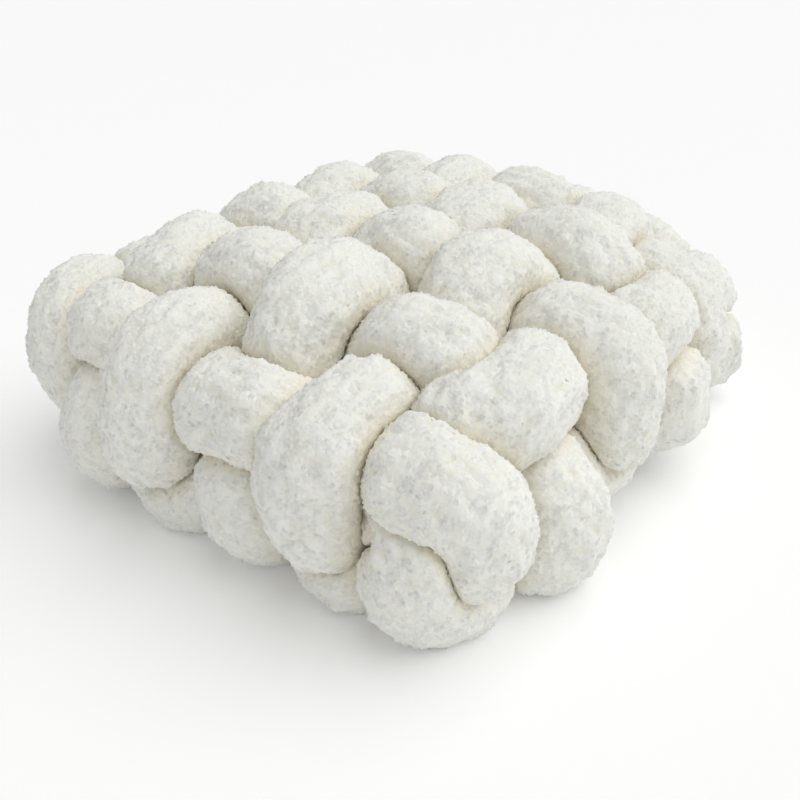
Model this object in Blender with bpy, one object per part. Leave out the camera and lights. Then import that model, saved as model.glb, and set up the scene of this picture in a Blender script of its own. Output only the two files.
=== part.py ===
"""A square knot cushion, woven by hand from one long stuffed tube of cream teddy fleece.

The tube runs round and round the cushion. It first makes six turns along X, each over the top,
round one rim and back underneath. It then passes round a corner and makes six turns along Y,
which go over and under the first six. Top and bottom are therefore two plain weaves, and what
lies over its neighbour on top lies inside it underneath.

Metres, +Z up. The origin is on the surface below the middle of the cushion.
"""

import bpy
import numpy as np

# Driving dimensions
PITCH = 0.062            # from the middle of one run of tube to the next
RUNS = 6                 # runs of tube each way
TUBE_RADIUS = 0.0315     # of the stuffed tube where nothing presses on it
OUTER_RISE = 0.0361      # middle of a lobe on the outside, from the cushion's middle plane
INNER_RISE = 0.0073      # middle of a run that passes inside its neighbour
CROWN = 0.035            # how much higher the middle of the top stands than its rim
CROWN_SHOULDER = 3.7     # 2 is a round dome; more makes it flat with steeper shoulders
STRETCH = 0.048          # share by which the weave is pulled longer along X and narrower along Y
FLATTENED = 0.0085       # how far the lobes underneath are pressed flat by the cushion's weight
SETTLED = 0.005          # what would clear the surface by less than this lies on it
RIM_PULL = 0.30          # how far a rim's own run is pulled in where a turn wraps it, in pitches
SEAM_GAP = 0.0026        # left between neighbouring stretches of tube
TIP_LENGTH = 0.030       # length over which the tube's two ends close

# Fineness of the mesh
SIDES = 10               # round the tube
STEPS_PER_STRETCH = 24   # points of the smooth route between two route points
WIDE_STEP = 0.0225       # between rings where the tube runs straight
CLOSE_STEP = 0.0150      # between rings where it bends most

FINER = 4                # finer grid on which the pressing of the tube's stretches is worked out
NEARBY = 1               # steps of that grid, to each side, whose pressing a spoke also takes in
LEAST_RADIUS = 0.003     # the tube is never pressed thinner than this

HALF_SPAN = PITCH * (RUNS - 1) / 2
LOWEST_MIDDLE = TUBE_RADIUS - FLATTENED   # height of the middle of the lobes underneath
MIDDLE_HEIGHT = LOWEST_MIDDLE + OUTER_RISE
OWN_LENGTH = 0.35 * PITCH  # of the tube itself, either way along it, that never presses on a ring
PRESS_SHARPNESS = 7.0    # how squarely two pressed stretches flatten against each other

FLEECE_COLOUR = (0.86, 0.83, 0.76, 1.0)
FLEECE_ROUGHNESS = 0.95

# The corners are drawn in and thinned by the weave, each by its own share. x and y say which
# corner a row is about.
CORNERS = (
    {"name": "near", "x": -1, "y": -1, "draw": 0.07, "thin": 0.10},
    {"name": "right", "x": 1, "y": -1, "draw": 0.10, "thin": 0.37},
    {"name": "far", "x": 1, "y": 1, "draw": 0.10, "thin": 0.08},
    {"name": "left", "x": -1, "y": 1, "draw": 0.09, "thin": 0.04},
)

# Woven by hand, the lobes are uneven. A row moves the tubes at one crossing, on top (face 1) or
# underneath (face -1), by its own x, y and up, in pitches.
UNEVEN = (
    {"column": 0, "row": 0, "face": 1, "x": -0.12, "y": -0.10, "up": -0.15},
    {"column": 0, "row": 2, "face": 1, "x": -0.10, "y": 0.00, "up": -0.10},
    {"column": 0, "row": 3, "face": 1, "x": 0.05, "y": 0.00, "up": 0.15},
    {"column": 0, "row": 4, "face": 1, "x": 0.05, "y": 0.10, "up": 0.05},
    {"column": 0, "row": 5, "face": 1, "x": 0.10, "y": 0.20, "up": 0.05},
    {"column": 1, "row": 0, "face": 1, "x": 0.00, "y": 0.05, "up": 0.10},
    {"column": 2, "row": 0, "face": 1, "x": 0.05, "y": 0.10, "up": 0.15},
    {"column": 4, "row": 0, "face": 1, "x": -0.15, "y": 0.20, "up": 0.10},
    {"column": 1, "row": 1, "face": 1, "x": -0.05, "y": -0.10, "up": -0.15},
    {"column": 1, "row": 2, "face": 1, "x": -0.10, "y": 0.00, "up": 0.05},
    {"column": 2, "row": 1, "face": 1, "x": 0.00, "y": 0.15, "up": 0.00},
    {"column": 3, "row": 1, "face": 1, "x": 0.00, "y": -0.20, "up": 0.00},
    {"column": 3, "row": 3, "face": 1, "x": 0.00, "y": -0.15, "up": 0.00},
    {"column": 4, "row": 4, "face": 1, "x": 0.15, "y": 0.00, "up": 0.00},
    {"column": 0, "row": 2, "face": -1, "x": 0.20, "y": -0.10, "up": 0.00},
    {"column": 0, "row": 3, "face": -1, "x": -0.05, "y": 0.10, "up": 0.00},
    {"column": 0, "row": 4, "face": -1, "x": -0.10, "y": 0.00, "up": 0.15},
    {"column": 1, "row": 0, "face": -1, "x": 0.00, "y": -0.15, "up": 0.00},
    {"column": 2, "row": 0, "face": -1, "x": 0.00, "y": 0.00, "up": 0.30},
    {"column": 3, "row": 0, "face": -1, "x": 0.10, "y": -0.05, "up": 0.35},
    {"column": 4, "row": 0, "face": -1, "x": 0.00, "y": 0.05, "up": 0.30},
    {"column": 5, "row": 0, "face": -1, "x": 0.00, "y": 0.00, "up": 0.15},
    {"column": 2, "row": 1, "face": -1, "x": 0.00, "y": 0.00, "up": 0.10},
    {"column": 3, "row": 1, "face": -1, "x": 0.00, "y": 0.00, "up": 0.15},
    {"column": 4, "row": 1, "face": -1, "x": 0.00, "y": 0.00, "up": 0.15},
)

# How a turn passes round the rim, from one face to the other. A row is a point of the tube's
# middle: reach is how far it stands out past the last crossing, rise its height above the
# middle plane and slip its way from this run to the next, all in pitches (slip 0 is this run).
STRAIGHT_RIM = {
    "over": (   # on the outside on top, it arches over the rim and tucks in half way down
        {"reach": 0.18, "rise": 0.51, "slip": 0.0},
        {"reach": 0.28, "rise": 0.20, "slip": 0.0},
        {"reach": 0.17, "rise": -0.12, "slip": 0.0},
    ),
    "under": (  # on the inside on top, it comes out half way down and wraps underneath
        {"reach": 0.16, "rise": -0.03, "slip": 0.0},
        {"reach": 0.28, "rise": -0.28, "slip": 0.0},
        {"reach": 0.18, "rise": -0.51, "slip": 0.0},
    ),
}
SLIPPING_RIM = {
    "full": (   # from the outside underneath to the outside on top of the next run
        {"reach": 0.20, "rise": -0.51, "slip": 0.10},
        {"reach": 0.33, "rise": 0.00, "slip": 0.50},
        {"reach": 0.20, "rise": 0.51, "slip": 0.90},
    ),
    "tucked": (  # from the inside underneath to the inside on top of the next run
        {"reach": 0.24, "rise": -0.10, "slip": 0.12},
        {"reach": 0.36, "rise": 0.00, "slip": 0.50},
        {"reach": 0.24, "rise": 0.10, "slip": 0.88},
    ),
}

# The tube's two ends, tucked in half way up the rim at the right and the left corner.
TUCKED_ENDS = {
    "first": (
        {"reach": 0.18, "rise": 0.04, "slip": 0.0},
        {"reach": 0.29, "rise": 0.28, "slip": 0.0},
    ),
    "last": (
        {"reach": 0.29, "rise": -0.28, "slip": 0.0},
        {"reach": 0.18, "rise": -0.04, "slip": 0.0},
    ),
}
# Round the far corner, from the last run along X underneath to the first along Y on top: how far
# past the corner crossing the tube's middle stands, its height above the middle plane, all in
# pitches, and the direction of the tube's side.
CORNER_TURN = (
    {"x": 0.26, "y": 0.05, "rise": -0.46, "side": (0.25, -0.70, 0.60)},
    {"x": 0.31, "y": 0.31, "rise": 0.00, "side": (0.45, -0.45, 0.80)},
    {"x": 0.05, "y": 0.26, "rise": 0.46, "side": (0.70, -0.25, 0.60)},
)


def at_pitches(number):
    """Where run or crossing `number` lies along its axis."""
    return (number - (RUNS - 1) / 2) * PITCH


def crown_at(x, y):
    """Extra height of the top: a dome that fades to nothing at the rim."""
    u = min(abs(x) / HALF_SPAN, 1.0)
    v = min(abs(y) / HALF_SPAN, 1.0)
    return CROWN * (1 - u**CROWN_SHOULDER) * (1 - v**CROWN_SHOULDER)


def uneven_lobe(column, row, face):
    """How far one lobe is out of the even weave."""
    for lobe in UNEVEN:
        if (lobe["column"], lobe["row"], lobe["face"]) == (column, row, face):
            return np.array([lobe["x"], lobe["y"], lobe["up"]]) * PITCH
    return np.zeros(3)


def uneven_at(column, row, rise):
    """How far a tube is out of the even weave at or near a crossing, at a height above or below
    the middle plane: sideways as a blend of the two lobes, and up by less near the plane."""
    upper = uneven_lobe(column, row, 1)
    lower = uneven_lobe(column, row, -1)
    share = np.clip(0.5 + rise / (2 * OUTER_RISE), 0, 1)
    moved = share * upper + (1 - share) * lower
    moved[2] = (upper if rise > 0 else lower)[2] * min(abs(rise) / OUTER_RISE, 1)
    return moved


def turn_is_outer(lies_along_x, column, row, face):
    """Whether this turn lies outside its neighbour at a crossing, by the plain weave's parity."""
    is_even = (column + row) % 2 == 0
    return is_even == (lies_along_x == (face < 0))


def pulled_in(run):
    """Sideways place of a run where a turn wraps it: a rim's own run is pulled to the middle."""
    place = at_pitches(run)
    if run in (0, RUNS - 1):
        place -= np.copysign(RIM_PULL * PITCH, place)
    return place


def crossing_point(lies_along_x, column, row, face):
    """Middle of the tube at a crossing; face is 1 on top and -1 underneath."""
    is_outer = turn_is_outer(lies_along_x, column, row, face)
    x, y = at_pitches(column), at_pitches(row)
    if not is_outer:
        x, y = (x, pulled_in(row)) if lies_along_x else (pulled_in(column), y)
    rise = face * (OUTER_RISE if is_outer else INNER_RISE)
    lift = crown_at(x, y) * (0.5 + 0.5 * rise / OUTER_RISE)
    return np.array([x, y, MIDDLE_HEIGHT + rise + lift]) + uneven_at(column, row, rise)


class Route:
    """The tube's way through the weave: points of its middle, and at each one the direction of
    the tube's side, along which neighbouring runs lie."""

    def __init__(self):
        self.points = []
        self.sides = []

    def add(self, point, side):
        self.points.append(point)
        self.sides.append(side)


def oriented(lies_along_x, along, across, height):
    """A point given along and across a run."""
    if lies_along_x:
        return (along, across, height)
    return (across, along, height)


def add_face(route, lies_along_x, run, face, side):
    """One pass over the top, towards the near rim, or back underneath to the far one."""
    numbers = range(RUNS) if face < 0 else reversed(range(RUNS))
    for number in numbers:
        column, row = (number, run) if lies_along_x else (run, number)
        route.add(crossing_point(lies_along_x, column, row, face), side)


def add_rim(route, lies_along_x, rows, run, next_run, end, side):
    """The passage round a rim; end is -1 at the near rim and 1 at the far one."""
    number = 0 if end < 0 else RUNS - 1
    crossing = (number, run) if lies_along_x else (run, number)
    for row in rows:
        along = end * (HALF_SPAN + row["reach"] * PITCH)
        across = at_pitches(run + row["slip"] * (next_run - run))
        rise = row["rise"] * PITCH
        point = np.array(oriented(lies_along_x, along, across, MIDDLE_HEIGHT + rise))
        route.add(point + uneven_at(*crossing, rise), side)


def add_turns(route, lies_along_x, runs, side):
    """All the turns along one axis, in the order in which the tube makes them."""
    for place, run in enumerate(runs):
        add_face(route, lies_along_x, run, 1, side)
        column, row = (0, run) if lies_along_x else (run, 0)
        kind = "over" if turn_is_outer(lies_along_x, column, row, 1) else "under"
        add_rim(route, lies_along_x, STRAIGHT_RIM[kind], run, run, -1, side)
        add_face(route, lies_along_x, run, -1, side)
        if place + 1 < len(runs):
            column, row = (RUNS - 1, run) if lies_along_x else (run, RUNS - 1)
            kind = "full" if turn_is_outer(lies_along_x, column, row, -1) else "tucked"
            add_rim(route, lies_along_x, SLIPPING_RIM[kind], run, runs[place + 1], 1, side)


def add_far_corner(route):
    """From the last run along X to the first along Y."""
    for row in CORNER_TURN:
        x = HALF_SPAN + row["x"] * PITCH
        y = HALF_SPAN + row["y"] * PITCH
        route.add((x, y, MIDDLE_HEIGHT + row["rise"] * PITCH), row["side"])


def woven_route():
    """Every route point of the tube, from one tucked end to the other."""
    route = Route()
    side_along_x = (0.0, -1.0, 0.0)
    side_along_y = (1.0, 0.0, 0.0)
    add_rim(route, True, TUCKED_ENDS["first"], 0, 0, 1, side_along_x)
    add_turns(route, True, list(range(RUNS)), side_along_x)
    add_far_corner(route)
    add_turns(route, False, list(reversed(range(RUNS))), side_along_y)
    add_rim(route, False, TUCKED_ENDS["last"], 0, 0, 1, side_along_y)
    return drawn_in(np.array(route.points)), np.array(route.sides)


def drawn_in(points):
    """The points with the square's corners drawn in and thinned. A corner's pull is 1 on its own
    crossing and fades with the square of the way to the middle lines, where it is 0."""
    u = points[:, 0] / HALF_SPAN
    v = points[:, 1] / HALF_SPAN
    draw = np.zeros(len(points))
    thin = np.zeros(len(points))
    for corner in CORNERS:
        pull = np.clip(u * corner["x"], 0, None) ** 2 * np.clip(v * corner["y"], 0, None) ** 2
        draw += corner["draw"] * pull
        thin += corner["thin"] * np.clip(pull, 0, 1)
    moved = np.empty_like(points)
    moved[:, 0] = points[:, 0] * (1 - draw) * (1 + STRETCH)
    moved[:, 1] = points[:, 1] * (1 - draw) * (1 - STRETCH)
    moved[:, 2] = LOWEST_MIDDLE + (points[:, 2] - LOWEST_MIDDLE) * (1 - thin)
    return moved


def smooth_curve(knots, values):
    """A smooth curve through rows of values at the given knots: between two rows it is the cubic
    whose slope at each is the average of the slopes on its two sides, weighted by their lengths."""
    spans = np.diff(knots)[:, None]
    rates = np.diff(values, axis=0) / spans
    slopes = np.empty_like(values)
    slopes[1:-1] = (rates[:-1] * spans[1:] + rates[1:] * spans[:-1]) / (spans[:-1] + spans[1:])
    slopes[0] = rates[0]
    slopes[-1] = rates[-1]
    t = np.linspace(0, 1, STEPS_PER_STRETCH, endpoint=False)[None, :, None]
    start, end = values[:-1, None], values[1:, None]
    start_slope, end_slope = (slopes[:-1] * spans)[:, None], (slopes[1:] * spans)[:, None]
    curve = (
        start * (2 * t**3 - 3 * t**2 + 1)
        + end * (3 * t**2 - 2 * t**3)
        + start_slope * (t**3 - 2 * t**2 + t)
        + end_slope * (t**3 - t**2)
    )
    return np.vstack([curve.reshape(-1, values.shape[1]), values[-1:]])


def unit(vectors):
    """Each row at length 1."""
    return vectors / np.linalg.norm(vectors, axis=-1, keepdims=True)


def travelled(points):
    """Distance along a line of points, from its start to each point."""
    steps = np.linalg.norm(np.diff(points, axis=0), axis=1)
    return np.concatenate([[0.0], np.cumsum(steps)])


def ring_places(points):
    """Distances along the route at which rings stand: closer together where it bends."""
    distance = travelled(points)
    heading = unit(np.gradient(points, distance, axis=0))
    bend = np.linalg.norm(np.gradient(heading, distance, axis=0), axis=1) * TUBE_RADIUS
    step = WIDE_STEP + (CLOSE_STEP - WIDE_STEP) * np.clip(bend, 0, 1)
    ring_number = np.concatenate([[0.0], np.cumsum(np.diff(distance) / step[:-1])])
    count = int(round(ring_number[-1]))
    return np.interp(np.linspace(0, ring_number[-1], count + 1), ring_number, distance)


def pressed_limits(centres, directions, places, route, distance):
    """How far each spoke of each ring can reach before it presses on another stretch of tube.
    It stops half way, where it is as near to that stretch's middle as to its own: with w the
    way to a point of that middle and d the spoke's direction, that is w.w / (2 d.w)."""
    limits = np.empty(directions.shape[:2])
    for number, (centre, spokes) in enumerate(zip(centres, directions)):
        way = route - centre
        square = np.einsum("ij,ij->i", way, way)
        near = (square < (2.2 * TUBE_RADIUS) ** 2) & (np.abs(distance - places[number]) > OWN_LENGTH)
        facing = np.maximum(spokes @ way[near].T, 1e-6)
        limits[number] = (square[near] / (2 * facing)).min(axis=1, initial=1.0)
    return limits


def least_nearby(limits):
    """The least limit on each spoke of the mesh and a little to each side of it, so that the
    mesh's flat facets, which cut across a hollow, stay clear of what presses there."""
    around = np.min([np.roll(limits, turn, 1) for turn in range(-NEARBY, NEARBY + 1)], axis=0)
    padded = np.pad(around, ((NEARBY, NEARBY), (0, 0)), mode="edge")
    along = np.min([padded[shift:shift + len(limits)] for shift in range(2 * NEARBY + 1)], axis=0)
    return along[::FINER, ::FINER]


def spoke_frames(places, route, side, distance, side_count):
    """Rings' centres, and the directions of their spokes, at the given places."""
    centres = np.stack([np.interp(places, distance, route[:, k]) for k in range(3)], axis=1)
    heading = unit(np.gradient(centres, places, axis=0))
    side = np.stack([np.interp(places, distance, side[:, k]) for k in range(3)], axis=1)
    side = unit(side - np.einsum("ij,ij->i", side, heading)[:, None] * heading)
    outward = np.cross(heading, side)
    angle = (np.arange(side_count) * 2 * np.pi / side_count)[None, :, None]
    return centres, np.cos(angle) * outward[:, None] + np.sin(angle) * side[:, None]


def tube_rings():
    """The tube's surface: one ring of points for each place along the route."""
    points, sides = woven_route()
    knots = travelled(points)
    route = smooth_curve(knots, points)
    side = smooth_curve(knots, sides)
    distance = travelled(route)
    places = ring_places(route)
    finer_places = np.interp(
        np.arange((len(places) - 1) * FINER + 1) / FINER, np.arange(len(places)), places
    )
    centres, directions = spoke_frames(finer_places, route, side, distance, SIDES * FINER)
    limits = least_nearby(pressed_limits(centres, directions, finer_places, route, distance))
    centres, directions = spoke_frames(places, route, side, distance, SIDES)
    pressed = np.maximum(limits - SEAM_GAP / 2, LEAST_RADIUS)
    radii = (TUBE_RADIUS**-PRESS_SHARPNESS + pressed**-PRESS_SHARPNESS) ** (-1 / PRESS_SHARPNESS)
    from_tip = np.minimum(places, places[-1] - places)
    closing = np.sqrt(np.clip(1 - (1 - np.clip(from_tip / TIP_LENGTH, 0.02, 1)) ** 2, 0, 1))
    rings = centres[:, None] + directions * (radii * closing[:, None])[:, :, None]
    rings[:, :, 2] = np.where(rings[:, :, 2] < SETTLED, 0.0, rings[:, :, 2])
    flat = rings.reshape(-1, 3)
    rings[:, :, :2] -= (flat.min(axis=0)[:2] + flat.max(axis=0)[:2]) / 2
    return rings


def tube_mesh(rings):
    """Quads between neighbouring rings, and one cap on each end."""
    count = len(rings)
    ring = np.arange(count - 1)[:, None] * SIDES
    spoke = np.arange(SIDES)[None, :]
    next_spoke = (spoke + 1) % SIDES
    quads = np.stack(
        [ring + spoke, ring + SIDES + spoke, ring + SIDES + next_spoke, ring + next_spoke], axis=-1
    ).reshape(-1, 4)
    faces = quads.tolist()
    faces.append(list(range(SIDES)))
    faces.append([(count - 1) * SIDES + k for k in reversed(range(SIDES))])
    mesh = bpy.data.meshes.new("woven_tube")
    mesh.from_pydata(rings.reshape(-1, 3).tolist(), [], faces)
    mesh.shade_smooth()
    return mesh


def fleece_material():
    """Cream teddy fleece."""
    material = bpy.data.materials.new("cream_fleece")
    material.use_nodes = True
    shader = material.node_tree.nodes["Principled BSDF"]
    shader.inputs["Base Color"].default_value = FLEECE_COLOUR
    shader.inputs["Roughness"].default_value = FLEECE_ROUGHNESS
    shader.inputs["Metallic"].default_value = 0.0
    return material


def clear_scene():
    """Leave an empty scene to model in."""
    for thing in list(bpy.data.objects):
        bpy.data.objects.remove(thing)


def main():
    clear_scene()
    mesh = tube_mesh(tube_rings())
    mesh.materials.append(fleece_material())
    tube = bpy.data.objects.new("woven_tube", mesh)
    bpy.context.scene.collection.objects.link(tube)


main()
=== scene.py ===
# %% [markdown]
# # A knot cushion, woven from one tube of teddy fleece
#
# The real cushion is a single tube of cream teddy fleece, about ten metres long, stuffed with
# fibre and then woven by hand. The tube runs round and round the cushion, first six times one way
# and then six times the other way, over and under the first six. This lesson builds the look of
# that cushion around a plain solid of it: the fine surface of the tube with its curly pile, the
# fleece as a material, and a soft studio to photograph it in.
#
# The first cell loads the plain solid. It is the frame that everything here has to fit, and its
# box is kept, to centre the finished tube over it.

# %% Load the frame
import math

import bpy
import numpy as np
from mathutils import Matrix, Vector


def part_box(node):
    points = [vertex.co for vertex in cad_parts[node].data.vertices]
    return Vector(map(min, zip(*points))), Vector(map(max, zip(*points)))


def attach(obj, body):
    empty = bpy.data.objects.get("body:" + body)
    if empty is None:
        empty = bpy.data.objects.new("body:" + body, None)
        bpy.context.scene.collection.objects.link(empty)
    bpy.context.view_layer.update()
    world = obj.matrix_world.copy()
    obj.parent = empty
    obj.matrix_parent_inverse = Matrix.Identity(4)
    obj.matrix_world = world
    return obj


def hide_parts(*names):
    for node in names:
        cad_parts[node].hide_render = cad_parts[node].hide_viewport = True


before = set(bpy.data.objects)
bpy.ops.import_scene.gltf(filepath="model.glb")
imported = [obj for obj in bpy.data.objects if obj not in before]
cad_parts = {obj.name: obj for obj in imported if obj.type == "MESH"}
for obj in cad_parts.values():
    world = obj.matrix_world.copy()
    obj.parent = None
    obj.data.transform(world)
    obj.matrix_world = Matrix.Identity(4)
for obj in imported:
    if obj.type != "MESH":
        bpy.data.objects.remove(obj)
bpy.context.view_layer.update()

cad_low, cad_high = (np.array(corner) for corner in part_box("woven_tube"))
print("the solid measures", (cad_high - cad_low).round(3), "m")

# %% [markdown]
# ## The sizes of the weave
#
# Everything about the weave follows from a few sizes a maker would choose: how thick the tube is,
# how far apart its runs lie, and how far it rises where it passes outside or inside its
# neighbour. The middle of the top stands higher than the rim, because the tube has nowhere else
# to go. The corners are drawn in, each by its own share, and the lobes are as uneven as hands
# make them. Those last two are short tables with a row for each corner or lobe.

# %% Sizes of the weave, in metres
PITCH = 0.062            # from the middle of one run of tube to the next
RUNS = 6                 # runs of tube each way
TUBE_RADIUS = 0.0315     # of the stuffed tube, to the tips of its pile
OUTER_RISE = 0.0361      # middle of a lobe on the outside, from the cushion's middle plane
INNER_RISE = 0.0073      # middle of a run that passes inside its neighbour
CROWN = 0.035            # how much higher the middle of the top stands than its rim
CROWN_SHOULDER = 3.7     # 2 is a round dome; more makes it flat with steeper shoulders
STRETCH = 0.048          # share by which the weave is longer along X and narrower along Y
FLATTENED = 0.0085       # how far the lobes underneath are pressed flat
RIM_PULL = 0.30          # how far a rim's own run is pulled in where a turn wraps it, in pitches
TIP_LENGTH = 0.030       # length over which the tube's two ends close

HALF_SPAN = PITCH * (RUNS - 1) / 2
LOWEST_MIDDLE = TUBE_RADIUS - FLATTENED
MIDDLE_HEIGHT = LOWEST_MIDDLE + OUTER_RISE

CORNERS = (
    {"name": "near", "x": -1, "y": -1, "draw": 0.07, "thin": 0.10},
    {"name": "right", "x": 1, "y": -1, "draw": 0.10, "thin": 0.37},
    {"name": "far", "x": 1, "y": 1, "draw": 0.10, "thin": 0.08},
    {"name": "left", "x": -1, "y": 1, "draw": 0.09, "thin": 0.04},
)

# A row moves the tubes at one crossing, on top (face 1) or underneath (face -1), in pitches.
UNEVEN = (
    {"column": 0, "row": 0, "face": 1, "x": -0.12, "y": -0.10, "up": -0.15},
    {"column": 0, "row": 2, "face": 1, "x": -0.10, "y": 0.00, "up": -0.10},
    {"column": 0, "row": 3, "face": 1, "x": 0.05, "y": 0.00, "up": 0.15},
    {"column": 0, "row": 4, "face": 1, "x": 0.05, "y": 0.10, "up": 0.05},
    {"column": 0, "row": 5, "face": 1, "x": 0.10, "y": 0.20, "up": 0.05},
    {"column": 1, "row": 0, "face": 1, "x": 0.00, "y": 0.05, "up": 0.10},
    {"column": 2, "row": 0, "face": 1, "x": 0.05, "y": 0.10, "up": 0.15},
    {"column": 4, "row": 0, "face": 1, "x": -0.15, "y": 0.20, "up": 0.10},
    {"column": 1, "row": 1, "face": 1, "x": -0.05, "y": -0.10, "up": -0.15},
    {"column": 1, "row": 2, "face": 1, "x": -0.10, "y": 0.00, "up": 0.05},
    {"column": 2, "row": 1, "face": 1, "x": 0.00, "y": 0.15, "up": 0.00},
    {"column": 3, "row": 1, "face": 1, "x": 0.00, "y": -0.20, "up": 0.00},
    {"column": 3, "row": 3, "face": 1, "x": 0.00, "y": -0.15, "up": 0.00},
    {"column": 4, "row": 4, "face": 1, "x": 0.15, "y": 0.00, "up": 0.00},
    {"column": 0, "row": 2, "face": -1, "x": 0.20, "y": -0.10, "up": 0.00},
    {"column": 0, "row": 3, "face": -1, "x": -0.05, "y": 0.10, "up": 0.00},
    {"column": 0, "row": 4, "face": -1, "x": -0.10, "y": 0.00, "up": 0.15},
    {"column": 1, "row": 0, "face": -1, "x": 0.00, "y": -0.15, "up": 0.00},
    {"column": 2, "row": 0, "face": -1, "x": 0.00, "y": 0.00, "up": 0.30},
    {"column": 3, "row": 0, "face": -1, "x": 0.10, "y": -0.05, "up": 0.35},
    {"column": 4, "row": 0, "face": -1, "x": 0.00, "y": 0.05, "up": 0.30},
    {"column": 5, "row": 0, "face": -1, "x": 0.00, "y": 0.00, "up": 0.15},
    {"column": 2, "row": 1, "face": -1, "x": 0.00, "y": 0.00, "up": 0.10},
    {"column": 3, "row": 1, "face": -1, "x": 0.00, "y": 0.00, "up": 0.15},
    {"column": 4, "row": 1, "face": -1, "x": 0.00, "y": 0.00, "up": 0.15},
)
print("the runs of tube lie", PITCH * 1000, "mm apart,", RUNS, "of them each way")

# %% [markdown]
# ## Round the rims
#
# At a rim a turn passes from one face to the other. How it does so depends on whether it lay
# outside or inside its neighbour: an outer lobe arches over the rim and tucks in half way down,
# and an inner one comes out half way down and wraps underneath. On the far rims the tube also
# slips sideways, on to its next run. Each passage is a table of a few points of the tube's
# middle. `reach` is how far a point stands out past the last crossing, `rise` its height above
# the middle plane and `slip` its way to the next run, all in pitches.

# %% Passages round the rims, tucked ends and the far corner
STRAIGHT_RIM = {
    "over": (
        {"reach": 0.18, "rise": 0.51, "slip": 0.0},
        {"reach": 0.28, "rise": 0.20, "slip": 0.0},
        {"reach": 0.17, "rise": -0.12, "slip": 0.0},
    ),
    "under": (
        {"reach": 0.16, "rise": -0.03, "slip": 0.0},
        {"reach": 0.28, "rise": -0.28, "slip": 0.0},
        {"reach": 0.18, "rise": -0.51, "slip": 0.0},
    ),
}
SLIPPING_RIM = {
    "full": (
        {"reach": 0.20, "rise": -0.51, "slip": 0.10},
        {"reach": 0.33, "rise": 0.00, "slip": 0.50},
        {"reach": 0.20, "rise": 0.51, "slip": 0.90},
    ),
    "tucked": (
        {"reach": 0.24, "rise": -0.10, "slip": 0.12},
        {"reach": 0.36, "rise": 0.00, "slip": 0.50},
        {"reach": 0.24, "rise": 0.10, "slip": 0.88},
    ),
}
TUCKED_ENDS = {
    "first": (
        {"reach": 0.18, "rise": 0.04, "slip": 0.0},
        {"reach": 0.29, "rise": 0.28, "slip": 0.0},
    ),
    "last": (
        {"reach": 0.29, "rise": -0.28, "slip": 0.0},
        {"reach": 0.18, "rise": -0.04, "slip": 0.0},
    ),
}
# side is the direction of the tube's side there, along which neighbouring runs lie.
CORNER_TURN = (
    {"x": 0.26, "y": 0.05, "rise": -0.46, "side": (0.25, -0.70, 0.60)},
    {"x": 0.31, "y": 0.31, "rise": 0.00, "side": (0.45, -0.45, 0.80)},
    {"x": 0.05, "y": 0.26, "rise": 0.46, "side": (0.70, -0.25, 0.60)},
)
print(len(STRAIGHT_RIM) + len(SLIPPING_RIM), "kinds of passage and", len(TUCKED_ENDS), "tucked ends")

# %% [markdown]
# ## The tube's way through the weave
#
# A plain weave is a chessboard: at every crossing one of the two tubes is outside, and which one
# it is changes from crossing to crossing. Underneath it is the other way round, since a turn that
# comes over the rim from the outside goes on inside. With that rule, the whole route can be
# listed crossing by crossing, from one tucked end of the tube to the other.

# %% The even weave: crossings and crown
def at_pitches(number):
    """Where run or crossing `number` lies along its axis, counted from the middle."""
    return (number - (RUNS - 1) / 2) * PITCH


def crown_at(x, y):
    """Extra height of the top. Formula: the crown's height times one minus a high power of the
    way out along x, times the same along y, so the top is flat with round shoulders."""
    u = min(abs(x) / HALF_SPAN, 1.0)
    v = min(abs(y) / HALF_SPAN, 1.0)
    return CROWN * (1 - u**CROWN_SHOULDER) * (1 - v**CROWN_SHOULDER)


def turn_is_outer(lies_along_x, column, row, face):
    """Whether this turn lies outside its neighbour, by the chessboard rule."""
    is_even = (column + row) % 2 == 0
    return is_even == (lies_along_x == (face < 0))


print("the middle of the top stands", round(crown_at(0, 0) * 1000), "mm higher than its rim")


# %% The unevenness of the lobes
def uneven_lobe(column, row, face):
    """How far one lobe is out of the even weave."""
    for lobe in UNEVEN:
        if (lobe["column"], lobe["row"], lobe["face"]) == (column, row, face):
            return np.array([lobe["x"], lobe["y"], lobe["up"]]) * PITCH
    return np.zeros(3)


def uneven_at(column, row, rise):
    """How far a tube is out of the even weave near a crossing. Formula: sideways it is a blend of
    the upper and the lower lobe by height; upwards it is the nearer lobe's, times the share of
    the way from the middle plane to that lobe."""
    upper = uneven_lobe(column, row, 1)
    lower = uneven_lobe(column, row, -1)
    share = np.clip(0.5 + rise / (2 * OUTER_RISE), 0, 1)
    moved = share * upper + (1 - share) * lower
    moved[2] = (upper if rise > 0 else lower)[2] * min(abs(rise) / OUTER_RISE, 1)
    return moved


# %% The tube's middle at a crossing
def pulled_in(run):
    """Sideways place of a run where a turn wraps it: on the rims it is pulled towards the middle."""
    place = at_pitches(run)
    if run in (0, RUNS - 1):
        place -= math.copysign(RIM_PULL * PITCH, place)
    return place


def crossing_point(lies_along_x, column, row, face):
    """Middle of the tube at a crossing; face is 1 on top and -1 underneath."""
    is_outer = turn_is_outer(lies_along_x, column, row, face)
    x, y = at_pitches(column), at_pitches(row)
    if not is_outer:
        x, y = (x, pulled_in(row)) if lies_along_x else (pulled_in(column), y)
    rise = face * (OUTER_RISE if is_outer else INNER_RISE)
    lift = crown_at(x, y) * (0.5 + 0.5 * rise / OUTER_RISE)
    return np.array([x, y, MIDDLE_HEIGHT + rise + lift]) + uneven_at(column, row, rise)


print("the near corner's lobe has its middle at", crossing_point(False, 0, 0, 1).round(3))

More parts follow.
